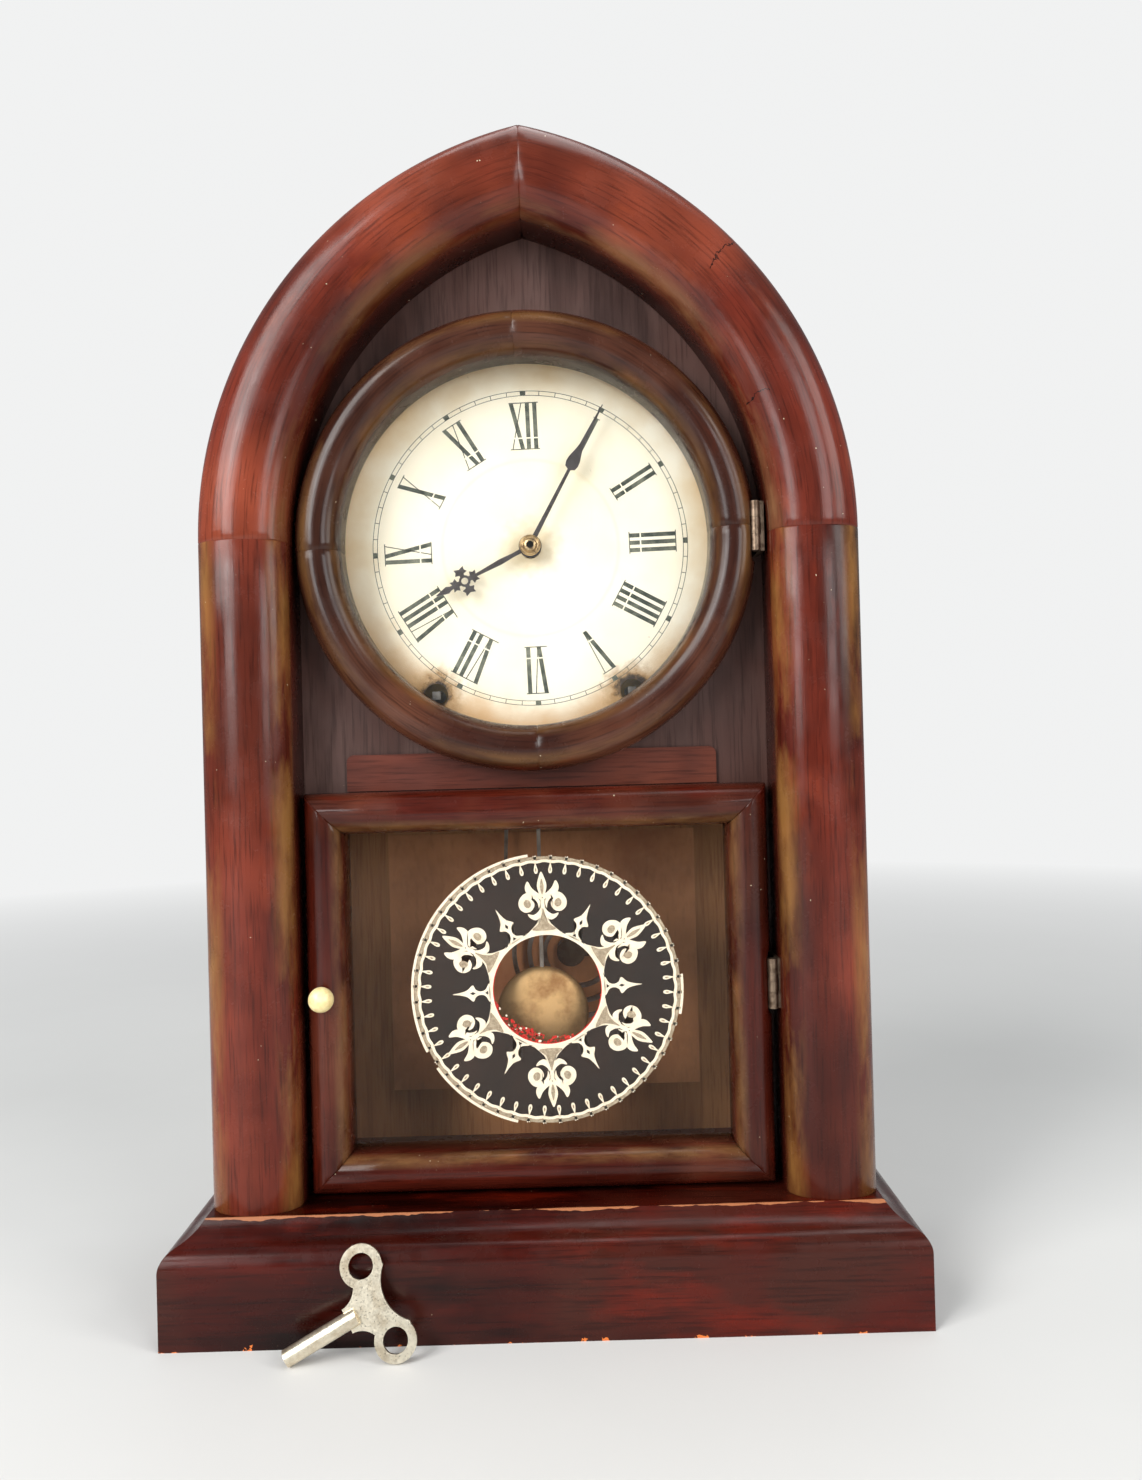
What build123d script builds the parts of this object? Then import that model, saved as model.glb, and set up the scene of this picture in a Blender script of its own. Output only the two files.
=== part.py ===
from build123d import *
from math import acos, atan2, cos, degrees, hypot, pi, radians, sin, sqrt, tan
import os

# Overall sizes in millimetres. X runs to the right, Y to the back, Z up.
base_width = 292.0
base_depth = 108.0
base_top = 44.3
ogee_start = 29.0
ogee_run = 14.3
rail_thickness = 24.0
back_rail_thickness = 12.0
floor_thickness = 8.3

# Case front: columns, arch and board.
case_half = 131.7
mould_width = 35.5
mould_rise = 12.0
mould_foot = -27.5
board_front = -8.5
board_thickness = 6.0
springing = 307.5
arch_rise = 164.5
side_inset = 2.2
side_thickness = 9.5
back_front = 48.0
back_thickness = 6.0

# Round door.
bezel_x = -1.45
bezel_outer = 93.7
bezel_inner = 75.0
bezel_turn = 2.0
door_foot = -19.5
bezel_back = -10.5
glass_thickness = 1.6

# Lower door.
door_left = -94.2
door_right = 93.3
door_bottom = 45.3
door_top = 206.7
member_width = 16.5
door_back = -9.5

# Hinges.
pin_y = -25.0
knuckle_r = 2.0
hinge_length = 20.0
upper_pin_x = 91.2
lower_pin_x = 93.4
upper_hinge_z = 300.2
lower_hinge_z = 116.2

# Dial, hands and movement.
dial_r = 88.0
dial_opening_r = 82.0
winding_x = 41.3
winding_drop = 61.2
plate_front = 12.0
plate_gap = 22.0
plate_thickness = 2.0
plate_half = 70.0
minute_angle = 28.7
hour_angle = 243.3
pendulum_pivot_z = 352.0
bob_z = 110.3
bob_r = 19.5
gong_x = 12.6
gong_z = 129.2
gong_y = 41.0
gong_turns = 3
gong_pitch = 7.0
gong_first_r = 12.0
gong_wire = 2.0

board_back = board_front + board_thickness
plate_back = plate_front + plate_thickness + plate_gap
inner_half = case_half - mould_width


def flat(y):
    return Plane(origin=(0, y, 0), x_dir=(1, 0, 0), z_dir=(0, -1, 0))


def slab(sketch, y0, y1):
    return extrude(flat(y1) * sketch, amount=y1 - y0)


def rod(x, z, r, y0, y1):
    return slab(Pos(x, z) * Circle(r), y0, y1)


def poly(points):
    return make_face(Polyline(*points, close=True))


def outline(inset):
    half = case_half - inset
    rise = arch_rise - inset
    full = (arch_rise ** 2 + case_half ** 2) / (2 * case_half)
    r = full - inset
    xc = case_half - full
    sweep = degrees(acos(-xc / r))
    top = springing + r * sin(radians(sweep))
    right = CenterArc((xc, springing), r, 0, sweep)
    left = CenterArc((-xc, springing), r, 180 - sweep, sweep)
    sides = [
        Line((-half, base_top), (half, base_top)),
        Line((half, base_top), (half, springing)),
        right,
        left,
        Line((-half, springing), (-half, base_top)),
    ]
    return make_face(sides)


def half_space(sign):
    return Pos(sign * 500, 0, 300) * Box(1000, 1000, 2000)


def half_round(width, foot, back, rise):
    half = width / 2
    small = rise if rise >= half else 0.75 * rise
    if rise >= half:
        crown = [ThreePointArc((-half, foot), (0, foot - rise), (half, foot))]
    else:
        big = (half ** 2 + rise ** 2 - 2 * half * small) / (2 * (rise - small))
        low = big - rise
        far = half - small
        turn = atan2(low, far)
        jx = far + small * cos(turn)
        jy = foot - small * sin(turn)
        mx = far + small * cos(turn / 2)
        my = foot - small * sin(turn / 2)
        crown = [
            ThreePointArc((-half, foot), (-mx, my), (-jx, jy)),
            ThreePointArc((-jx, jy), (0, foot - rise), (jx, jy)),
            ThreePointArc((jx, jy), (mx, my), (half, foot)),
        ]
    sides = [Line((half, foot), (half, back)), Line((half, back), (-half, back)), Line((-half, back), (-half, foot))]
    return make_face(crown + sides)


def ten_sided(width, foot, back):
    half = width / 2
    points = []
    for k in range(11):
        points.append((-half * cos(pi * k / 10), foot - half * sin(pi * k / 10)))
    return poly(points + [(half, back), (-half, back)])


def save(name, shape):
    shape.label = name
    export_step(shape, "parts/" + name + ".step")


os.makedirs("parts", exist_ok=True)

# Plinth: one moulded section run round the front and both sides, mitred at the corners.
half_w = base_width / 2
half_d = base_depth / 2
arc_x = 5.5
arc_z = ogee_start + 8.0
rise = base_top - ogee_start


def rail_section():
    p0 = (0, 0)
    p1 = (0, ogee_start)
    p2 = (arc_x, arc_z)
    p3 = (ogee_run, base_top)
    lower = TangentArc(p1, p2, tangent=(0, 1))
    upper = TangentArc(p2, p3, tangent=(8.0, 3.07))
    return make_face([
        Line(p0, p1),
        lower,
        upper,
        Line(p3, (rail_thickness, base_top)),
        Line((rail_thickness, base_top), (rail_thickness, 0)),
        Line((rail_thickness, 0), p0),
    ])


section = rail_section()
front_plane = Plane(origin=(-half_w, -half_d, 0), x_dir=(0, 1, 0), z_dir=(1, 0, 0))
front_rail = extrude(front_plane * section, amount=base_width)
side_plane = Plane(origin=(half_w, -half_d, 0), x_dir=(-1, 0, 0), z_dir=(0, 1, 0))
side_rail = extrude(side_plane * section, amount=base_depth)
corner = poly([(half_w, -half_d), (half_w + 50, -half_d - 50), (-half_w - 50, -half_d - 50),
               (-half_w, -half_d), (-half_w + 50, -half_d + 50), (half_w - 50, -half_d + 50)])
front_zone = extrude(corner, amount=200)
front_rail = front_rail & front_zone
right_rail = side_rail - front_zone
save("base_front_rail", front_rail)
save("base_side_right", right_rail)
save("base_side_left", mirror(right_rail, about=Plane.YZ))
inside = base_width - 2 * rail_thickness
back_rail = Pos(0, half_d - back_rail_thickness / 2, base_top / 2) * Box(inside, back_rail_thickness, base_top)
save("base_back_rail", back_rail)
floor_y0 = -half_d + rail_thickness
floor_y1 = half_d - back_rail_thickness
case_floor = Pos(0, (floor_y0 + floor_y1) / 2, base_top - floor_thickness / 2) * Box(
    inside, floor_y1 - floor_y0, floor_thickness)
save("case_floor", case_floor)

# Columns and arch mouldings share one section.
mould = half_round(mould_width, mould_foot, board_front, mould_rise)
centre_line = case_half - mould_width / 2
column = extrude(Plane((0, 0, base_top)) * (Pos(centre_line, 0) * mould), amount=springing - base_top)
save("column_right", column)
save("column_left", mirror(column, about=Plane.YZ))
arch_r = (arch_rise ** 2 + case_half ** 2) / (2 * case_half)
arch_x = case_half - arch_r
arch_axis = Axis((arch_x, 0, springing), (0, -1, 0))
arch = revolve(Plane((0, 0, springing)) * (Pos(centre_line, 0) * mould), arch_axis, 90)
arch = arch & half_space(1)
save("arch_moulding_right", arch)
save("arch_moulding_left", mirror(arch, about=Plane.YZ))

# Front board with its two openings and the slot for the finger of the knob.
knob_x = -86.8
knob_z = 125.7
door_hole_x = (door_left + door_right) / 2
door_hole_z = (door_bottom + door_top) / 2
hole_w = door_right - door_left - 2 * member_width + 5
hole_h = door_top - door_bottom - 2 * member_width + 5
board = outline(side_inset)
board -= Pos(0, springing) * Circle(dial_opening_r)
board -= Pos(door_hole_x, door_hole_z) * Rectangle(hole_w, hole_h)
front_board = slab(board, board_front, board_back)
front_board -= rod(knob_x, knob_z, 9.0, board_front - 1, board_front + 2.0)
save("front_board", front_board)
strip = Pos(-1.7, 214.5) * RectangleRounded(153.2, 15.0, 3.0)
strip += Pos(-1.7, 210.5) * Rectangle(153.2, 7.0)
save("sill_strip", slab(strip, board_front - 1.6, board_front))

# Bent case sides and the backboard.
ring = outline(side_inset) - outline(side_inset + side_thickness)
ring = slab(ring, board_back, back_front)
ring -= Pos(0, 20, base_top) * Box(2 * (case_half - side_inset - side_thickness), 200, 60)
save("case_side_right", ring & half_space(1))
save("case_side_left", ring & half_space(-1))
save("backboard", slab(outline(side_inset), back_front, back_front + back_thickness))
save("paper_label", slab(Pos(0, 125) * Rectangle(142, 118), back_front - 0.3, back_front))

# Dial plate.
wind_z = springing - winding_drop
dial = Pos(0, springing) * Circle(dial_r) - Pos(0, springing) * Circle(4.5)
for side in (-1, 1):
    dial -= Pos(side * winding_x, wind_z) * Circle(5.0)
save("dial_plate", slab(dial, board_back, board_back + 0.6))

# Round door: four quarters of one ring.
width = bezel_outer - bezel_inner
middle = (bezel_outer + bezel_inner) / 2
bezel_profile = ten_sided(width, door_foot, bezel_back)
bezel_glass_front = bezel_back - 4.0
rebate = Pos(-width / 2, bezel_glass_front + 2.5) * Rectangle(8.0, 5.0)
bezel_profile -= rebate
bezel_axis = Axis((bezel_x, 0, springing), (0, -1, 0))
quarter = revolve(Plane((bezel_x + middle, 0, springing)) * bezel_profile, bezel_axis, 90)
trim_x = upper_pin_x - knuckle_r
trim = Pos(trim_x + 10, -15, upper_hinge_z + hinge_length / 2) * Box(20, 40, hinge_length + 3)
quarters = ("upper_right", "upper_left", "lower_left", "lower_right")
for k in range(4):
    piece = quarter.rotate(bezel_axis, bezel_turn + 90 * k)
    save("bezel_" + quarters[k], piece - trim)
glass_r = bezel_inner + 3.7
save("bezel_glass", rod(bezel_x, springing, glass_r, bezel_glass_front, bezel_glass_front + glass_thickness))

# Lower door: four mitred members, glass and beads.
member = half_round(member_width, door_foot, door_back, member_width / 2)
glass_front = -16.0
rebate = Pos(member_width / 2, (glass_front + door_back) / 2) * Rectangle(8.0, door_back - glass_front)
member -= rebate
door_w = door_right - door_left
door_h = door_top - door_bottom
half_member = member_width / 2
stile = extrude(Plane((door_left + half_member, 0, door_bottom)) * member, amount=door_h)
rail_plane = Plane(origin=(door_left, 0, door_bottom + half_member), x_dir=(0, 0, 1), z_dir=(1, 0, 0))
bottom = extrude(rail_plane * mirror(member, about=Plane.XZ), amount=door_w)
mid_z = (door_bottom + door_top) / 2
mid_x = (door_left + door_right) / 2
reach = door_h / 2
left_zone = poly([(door_left, door_bottom), (door_left + reach, mid_z), (door_left, door_top)])
left_zone = slab(left_zone, -60, 0)
stile = stile & left_zone
stile_right = mirror(stile, about=Plane.YZ.offset(mid_x))
low_zone = poly([(door_left, door_bottom), (door_left + reach, mid_z),
                 (door_right - reach, mid_z), (door_right, door_bottom)])
bottom = bottom & slab(low_zone, -60, 0)
top = mirror(bottom, about=Plane.XY.offset(mid_z))
low_trim_x = lower_pin_x - knuckle_r
trim = Pos(low_trim_x + 10, -15, lower_hinge_z + hinge_length / 2) * Box(20, 40, hinge_length + 3)
stem_hole = rod(knob_x, knob_z, 1.55, -60, 0)
save("door_stile_left", stile - stem_hole)
save("door_stile_right", stile_right - trim)
save("door_rail_bottom", bottom)
save("door_rail_top", top)
open_w = door_w - 2 * member_width
open_h = door_h - 2 * member_width
pane = Pos(mid_x, mid_z) * Rectangle(open_w + 7.4, open_h + 7.4)
save("tablet_glass", slab(pane, glass_front, glass_front + 2.0))
beads = Pos(mid_x, mid_z) * (Rectangle(open_w + 8.0, open_h + 8.0) - Rectangle(open_w + 1.0, open_h + 1.0))
save("tablet_beads", slab(beads, glass_front + 2.0, glass_front + 5.0))


# Butt hinges with three knuckles each.
case_hinges = []


def hinge(pin_x, z0, wall_x, name):
    step = hinge_length / 3
    pin = Pos(pin_x, pin_y, z0 + hinge_length / 2) * Cylinder(0.8, hinge_length)
    case = pin
    for k in (0, 2):
        case += Pos(pin_x, pin_y, z0 + step * (k + 0.5)) * Cylinder(knuckle_r, step - 0.1)
    leaf_x0 = pin_x + knuckle_r - 0.8
    back = board_front - 0.8
    leaf = Pos((leaf_x0 + wall_x) / 2, (pin_y + back) / 2, z0 + hinge_length / 2) * Box(
        wall_x - leaf_x0, back - pin_y, hinge_length)
    foot = Pos((leaf_x0 + wall_x) / 2, board_front - 0.4, z0 + hinge_length / 2) * Box(
        wall_x - leaf_x0, 0.8, hinge_length)
    gap = Pos(pin_x, pin_y, z0 + step * 1.5) * (Cylinder(knuckle_r + 0.3, step + 0.1) - Cylinder(0.8, step + 1))
    case += leaf - gap + foot
    case_hinges.append(case)
    knuckle = Pos(pin_x, pin_y, z0 + step * 1.5) * Cylinder(knuckle_r, step - 0.1)
    door_x = pin_x - knuckle_r
    back = bezel_back - 0.5
    plate = Pos(door_x + 0.35, (pin_y + back) / 2, z0 + hinge_length / 2) * Box(
        0.7, back - pin_y, hinge_length)
    for k in (0, 2):
        plate -= Pos(pin_x, pin_y, z0 + step * (k + 0.5)) * Cylinder(knuckle_r + 0.3, step + 0.1)
    door = plate + knuckle
    door -= Pos(pin_x, pin_y, z0 + hinge_length / 2) * Cylinder(0.85, hinge_length + 2)
    save(name + "_hinge_door", door)


hinge(lower_pin_x, lower_hinge_z, inner_half, "lower")
hinge(upper_pin_x, upper_hinge_z, 94.8, "upper")
save("case_hinges", Compound(children=case_hinges))

# Knob: bone head on a brass stem, with a finger that turns in a pocket of the board.
head = poly([(1.0, -27.8), (3.2, -27.8), (4.6, -29.0), (5.0, -31.0), (4.6, -33.2), (3.4, -35.0), (0, -35.8),
             (0, -33.0), (1.0, -33.0)])
knob = revolve(Plane((knob_x, 0, knob_z)) * head, Axis((knob_x, 0, knob_z), (0, 1, 0)), 360)
stem = rod(knob_x, knob_z, 1.0, -33.0, -27.8) + rod(knob_x, knob_z, 1.5, -27.8, -7.0)
stem += slab(Pos(knob_x, knob_z + 2.5) * Rectangle(4.0, 9.0), board_front + 0.3, board_front + 1.3)
save("door_knob", knob)
save("knob_stem", stem)


# Toothed wheels: trapezoid teeth about the pitch circle.
def wheel(teeth, module, x, z, phase, y0, y1, bore):
    r = teeth * module / 2
    pitch = 2 * pi / teeth
    points = []
    for k in range(teeth):
        a = radians(phase) + k * pitch
        for r_at, width_at in ((r - 1.15 * module, -0.3), (r + 0.8 * module, 0.0), (r - 1.15 * module, 0.3)):
            b = a + width_at * pitch
            points.append((x + r_at * cos(b), z + r_at * sin(b)))
    disc = poly(points)
    if bore > 0:
        disc -= Pos(x, z) * Circle(bore)
    return slab(disc, y0, y1)


def meet(p, q, rp, rq, sign):
    dx = q[0] - p[0]
    dz = q[1] - p[1]
    d = hypot(dx, dz)
    a = (rp ** 2 - rq ** 2 + d ** 2) / (2 * d)
    h = sqrt(max(rp ** 2 - a ** 2, 0.0))
    return (p[0] + a * dx / d + sign * h * dz / d, p[1] + a * dz / d - sign * h * dx / d)


def follow_phase(p, phase, n, q, m):
    line = degrees(atan2(q[1] - p[1], q[0] - p[0]))
    return line + 180 - (phase - line) * n / m + 180.0 / m


def arbor(x, z):
    return rod(x, z, 1.0, plate_front, plate_back + plate_thickness)


time_at = (winding_x, wind_z)
strike_at = (-winding_x, wind_z)
centre_at = (0.0, springing)
great_module = 1.36
second_module = 1.3
centre_module = 0.8
great_teeth = 48
pinion_teeth = 8
d1 = great_module * (great_teeth + pinion_teeth) / 2
d2 = second_module * (great_teeth + pinion_teeth) / 2
second_at = meet(time_at, centre_at, d1, d2, 1)
escape_at = (0.0, springing + centre_module * (great_teeth + pinion_teeth) / 2)
strike_second_at = (-winding_x, wind_z + d1)
fly_module = 0.8
g0 = plate_front + plate_thickness
pillars_at = ((0, 222), (-62, 302), (62, 302), (-50, 358), (50, 358))

great = wheel(great_teeth, great_module, *time_at, 0, g0 + 4, g0 + 6, 2.55)
save("time_great_wheel", great)
ph = follow_phase(time_at, 0, great_teeth, second_at, pinion_teeth)
second = arbor(*second_at) + wheel(pinion_teeth, great_module, *second_at, ph, g0 + 3.5, g0 + 6.5, 0)
second += wheel(great_teeth, second_module, *second_at, 0, g0 + 1.2, g0 + 2.4, 0)
save("time_second_wheel", second)
ph = follow_phase(second_at, 0, great_teeth, centre_at, pinion_teeth)
centre = wheel(pinion_teeth, second_module, *centre_at, ph, g0 + 1.0, g0 + 2.6, 1.55)
centre += slab(Pos(*centre_at) * (Circle(2.6) - Circle(1.55)), g0 + 2.6, g0 + 16)
centre += wheel(great_teeth, centre_module, *centre_at, 0, g0 + 16, g0 + 17.2, 1.55)
save("time_centre_wheel", centre)
ph = follow_phase(centre_at, 0, great_teeth, escape_at, pinion_teeth)
escape = arbor(*escape_at) + wheel(pinion_teeth, centre_module, *escape_at, ph, g0 + 15.5, g0 + 17.7, 0)
points = []
for k in range(24):
    a = 2 * pi * k / 24
    points.append((escape_at[0] + 16 * cos(a), escape_at[1] + 16 * sin(a)))
    points.append((escape_at[0] + 13 * cos(a + 0.06), escape_at[1] + 13 * sin(a + 0.06)))
escape += slab(poly(points), g0 + 1.2, g0 + 2.2)
save("escape_wheel", escape)

great = wheel(great_teeth, great_module, *strike_at, 0, g0 + 4, g0 + 6, 2.55)
save("strike_great_wheel", great)
ph = follow_phase(strike_at, 0, great_teeth, strike_second_at, pinion_teeth)
second = arbor(*strike_second_at) + wheel(
    pinion_teeth, great_module, *strike_second_at, ph, g0 + 3.5, g0 + 6.5, 0)
second += wheel(great_teeth, fly_module, *strike_second_at, 0, g0 + 1.2, g0 + 2.4, 0)
save("strike_second_wheel", second)

# Mainsprings, closed up as one disc each, with the outer end led to the lowest pillar.
for name, at, side in (("time", time_at, 1), ("strike", strike_at, -1)):
    spring = Pos(*at) * (Circle(26) - Circle(4.0))
    dx = pillars_at[0][0] - at[0]
    dz = pillars_at[0][1] - at[1]
    turn = degrees(atan2(dz, dx))
    length = hypot(dx, dz)
    tail = Pos(*at) * (Rot(0, 0, turn) * (Pos((25.5 + length) / 2, 0) * Rectangle(length - 25.5, 1.5)))
    tail -= Pos(*pillars_at[0]) * Circle(3.0)
    save(name + "_mainspring", slab(spring + tail, g0 + 9, g0 + 19))
    post = rod(*at, 2.5, plate_front - 0.5, plate_back - 0.2) + rod(*at, 1.5, plate_back - 0.2, plate_back + 2)
    square = slab(Pos(*at) * Rectangle(3.4, 3.4), board_back + 1.0, plate_front - 0.5)
    save(name + "_winding_arbor", post + square)

# Plates and pillars.
plate = Pos(0, 290) * Rectangle(2 * plate_half, 156)
back_shape = plate
front_shape = plate
for at in (time_at, strike_at):
    front_shape -= Pos(*at) * Circle(2.6)
    back_shape -= Pos(*at) * Circle(1.55)
verge_at = (0.0, pendulum_pivot_z)
hammer_at = (-12.0, 268.0)
for at in (second_at, escape_at, strike_second_at, verge_at, hammer_at):
    front_shape -= Pos(*at) * Circle(1.05)
    back_shape -= Pos(*at) * Circle(1.05)
front_shape -= Pos(*centre_at) * Circle(1.55)
back_shape -= Pos(*centre_at) * Circle(1.05)
back_plate = slab(back_shape, plate_back, plate_back + plate_thickness)
for at in pillars_at:
    back_plate += rod(*at, 3.0, g0, back_front)
save("back_plate", back_plate)

# Motion work in front of the front plate.
motion_at = meet(centre_at, (30, springing - 30), 16.0, 26.5, 1)
cannon_y = plate_front - 2.2
motion_module = 32.0 / 48
shaft = rod(*centre_at, 1.5, -11.2, plate_back - 0.2)
shaft += rod(*centre_at, 1.0, plate_back - 0.2, plate_back + plate_thickness)
shaft += wheel(12, motion_module, *centre_at, 0, cannon_y, plate_front - 0.8, 0)
save("centre_arbor", shaft)
ph = follow_phase(centre_at, 0, 12, motion_at, 36)
minute = wheel(36, motion_module, *motion_at, ph, cannon_y, plate_front - 0.8, 1.05)
hour_module = 32.0 / 60
minute += wheel(12, hour_module, *motion_at, 0, cannon_y - 2.0, cannon_y, 1.05)
save("minute_wheel", minute)
ph = follow_phase(motion_at, 0, 12, centre_at, 48)
hour = wheel(48, hour_module, *centre_at, ph, cannon_y - 1.8, cannon_y - 0.6, 1.55)
hour += slab(Pos(*centre_at) * (Circle(2.6) - Circle(1.55)), -6.8, cannon_y - 0.6)
save("hour_wheel", hour)
stud = rod(*motion_at, 1.0, cannon_y - 2.6, plate_front)
post = rod(0, pendulum_pivot_z + 7, 2.5, 3.5, plate_front)
save("front_plate", slab(front_shape, plate_front, g0) + stud + post)


def hand_frame(angle):
    return Pos(*centre_at) * Rot(0, 0, -angle)


# Hands: outlines drawn pointing up, then turned about the dial's centre.
right_side = [(1.0, 0), (1.0, 4), (0.9, 12), (0.65, 35.6), (2.2, 36.4), (2.75, 38.2), (2.6, 40.4),
              (1.6, 44.0), (0.95, 47.0), (0.7, 54), (0.45, 60), (0.15, 66)]
minute_points = right_side + [(-x, z) for x, z in reversed(right_side)]
minute_hand = poly(minute_points) + Circle(4.4) - Circle(1.5)
save("minute_hand", slab(hand_frame(minute_angle) * minute_hand, -9.2, -8.5))
right_side = [(1.0, 0), (0.8, 8), (1.15, 14), (0.7, 23.5), (0.6, 26), (0.8, 36), (0.8, 37.6), (1.5, 39.2),
              (1.0, 41.2), (0.15, 44.4)]
hour_points = right_side + [(-x, z) for x, z in reversed(right_side)]
hour_hand = poly(hour_points)
arm = [(0.9, 1.0), (1.0, 3.0), (2.7, 3.4), (1.9, 4.6), (2.2, 6.0), (0.0, 5.2)]
arm_points = arm + [(-x, z) for x, z in reversed(arm[:-1])]
for k in range(4):
    hour_hand += Pos(0, 31) * (Rot(0, 0, 90 * k) * poly(arm_points))
hour_hand += Pos(0, 31) * Circle(2.4)
hour_hand -= Pos(0, 31) * Circle(1.45)
hour_hand += Circle(4.8)
hour_hand -= Circle(1.55)
save("hour_hand", slab(hand_frame(hour_angle) * hour_hand, -7.5, -6.8))
dome = poly([(1.5, -9.2), (4.4, -9.2), (4.0, -10.3), (2.6, -11.3), (1.5, -11.4)])
nut = revolve(Plane((0, 0, springing)) * dome, Axis((0, 0, springing), (0, 1, 0)), 360)
save("hand_nut", nut)

# Verge with its crutch, and the pendulum.
pivot = pendulum_pivot_z
verge = rod(*verge_at, 1.0, 7.0, plate_back + plate_thickness)
anchor = poly([(0, pivot + 2.5), (16.5, pivot - 11), (14.5, pivot - 13.4), (13.6, pivot - 11.2), (0, pivot - 1.6),
               (-13.6, pivot - 11.2), (-14.5, pivot - 13.4), (-16.5, pivot - 11)])
verge += slab(anchor, g0 + 1.2, g0 + 2.2)
verge += slab(Pos(0, pivot - 10) * Rectangle(2.0, 22), 7.6, 8.4)
for side in (-1, 1):
    verge += slab(Pos(side * 1.8, pivot - 20) * Rectangle(0.8, 2.0), 3.6, 8.4)
verge += slab(Pos(0, pivot - 20) * Rectangle(4.4, 2.0), 7.6, 8.4)
save("verge", verge)
pend = slab(Pos(0, pivot - 3) * Rectangle(3.0, 12), 4.9, 5.1)
rod_top = pivot - 9
loop_top = springing + 18
loop_low = springing - 18
pend += slab(Pos(0, (rod_top + loop_top) / 2) * Rectangle(1.6, rod_top - loop_top), 4.2, 5.8)
loop = Rectangle(20, 36) - Rectangle(17.2, 33.2)
pend += slab(Pos(0, springing) * loop, 4.2, 5.8)
rod_low = bob_z - bob_r - 12
pend += slab(Pos(0, (loop_low + rod_low) / 2) * Rectangle(1.6, loop_low - rod_low), 4.2, 5.8)
save("pendulum_rod", pend)
lens = poly([(0, 0.8), (bob_r * 0.55, 1.5), (bob_r, 4.2), (bob_r, 5.8), (bob_r * 0.55, 8.5), (0, 9.2)])
bob = revolve(Plane((0, 0, bob_z)) * lens, Axis((0, 0, bob_z), (0, 1, 0)), 360)
bob -= Pos(0, 5.0, bob_z) * Box(1.6, 1.6, 60)
save("pendulum_bob", bob)
nut = Pos(0, 5.0, bob_z - bob_r - 2.5) * (Cylinder(3.2, 4.0) - Box(1.6, 1.6, 60))
save("rating_nut", nut)

# Gong: round base on the backboard and one flat coil of half turns.
gong_base = rod(gong_x, gong_z, 6.4, gong_y - gong_wire / 2 - 1, back_front - 0.3)
edges = []
start = gong_x + gong_first_r
radius = gong_first_r
centre_x = gong_x
side = 1
loops = 2 * gong_turns
for k in range(loops):
    if side > 0:
        edges.append(CenterArc((centre_x, gong_z), radius, 0, 180))
    else:
        edges.append(CenterArc((centre_x, gong_z), radius, 180, 180))
    shift = gong_pitch / 2
    centre_x = centre_x + side * shift
    radius = radius + shift
    side = -side
path = flat(gong_y) * Wire([Edge(e.wrapped) for e in edges])
start_at = path @ 0
end_at = path @ 1
lead_in = Line(start_at - (path % 0) * gong_wire, start_at)
lead_out = Line(end_at, end_at + (path % 1) * gong_wire)
path = Wire([lead_in] + list(path.edges()) + [lead_out])
section_plane = Plane(origin=path @ 0, z_dir=path % 0, x_dir=(0, 1, 0))
coil = sweep(section_plane * Rectangle(gong_wire, gong_wire), path)
arm_x0 = gong_x + 6.0
arm = Pos((arm_x0 + start - 1.0) / 2, gong_y, gong_z - 1) * Box(start - 1.0 - arm_x0, gong_wire, gong_wire)
save("gong_coil", coil)
samples = [path @ (k / 400) for k in range(401)]
gap = 1000.0
for i in range(0, 401, 2):
    for j in range(i + 60, 401, 2):
        gap = min(gap, (samples[i] - samples[j]).length - gong_wire)
print("least gap between neighbouring turns of the coil", round(gap, 2))
save("gong_base", gong_base + arm)

# Hammer that swings against the outer turn of the gong.
head_x = gong_x - 33 * cos(radians(45)) - 6
head_z = gong_z + 33 * sin(radians(45)) + 8
hammer = rod(*hammer_at, 1.0, plate_front, plate_back + 6)
dx = head_x - hammer_at[0]
dz = head_z - hammer_at[1]
turn = degrees(atan2(dz, dx))
wire = Pos(*hammer_at) * (Rot(0, 0, turn) * (Pos(hypot(dx, dz) / 2, 0) * Rectangle(hypot(dx, dz), 1.6)))
hammer += slab(wire, plate_back + 3.6, plate_back + 5.2)
hammer += Pos(head_x, plate_back + 4.4, head_z) * (Rot(0, 90 - 45, 0) * Cylinder(3.6, 12))
save("strike_hammer", hammer)

# Winding key, leaning on the plinth with its lower wing and the end of the barrel on the table.
key_tilt = 16.7
key_turn = 28.05
key_x = -61.95
wing_spacing = 28.6
wing_r = 7.8
key_reach = 37.7
barrel_length = 29.0
barrel_r = 3.25
key_thickness = 1.6
near = wing_spacing / 2
body = poly([(near, -7.5), (near, 7.0), (4.8, 12.6), (-4.8, 12.6), (-near, 7.0), (-near, -7.5)])
body -= Pos(0, -17.5) * Circle(14.7)
for side in (-1, 1):
    body -= Pos(side * 12.5, 13) * Circle(8.0)
for side in (-1, 1):
    body += Pos(side * near, 0) * Circle(wing_r)
for side in (-1, 1):
    body -= Pos(side * near, 0) * Circle(4.6)
tilt = radians(key_tilt)
turn = radians(key_turn)
low_b = wing_r + key_thickness / 2 * tan(tilt)
mid_b = low_b + near * cos(turn)
top_b = mid_b + near * cos(turn) + wing_r
key_y = -half_d - key_thickness / 2 / cos(tilt) - (top_b - mid_b) * sin(tilt) - 0.05
key_z = mid_b * cos(tilt)
up = Vector(0, sin(tilt), cos(tilt))
along = Vector(1, 0, 0) * -sin(turn) + up * cos(turn)
reach = Vector(-1, 0, 0) * cos(turn) - up * sin(turn)
normal = along.cross(reach)
key_plane = Plane(origin=(key_x, key_y, key_z + 0.1), x_dir=along, z_dir=normal)
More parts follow.
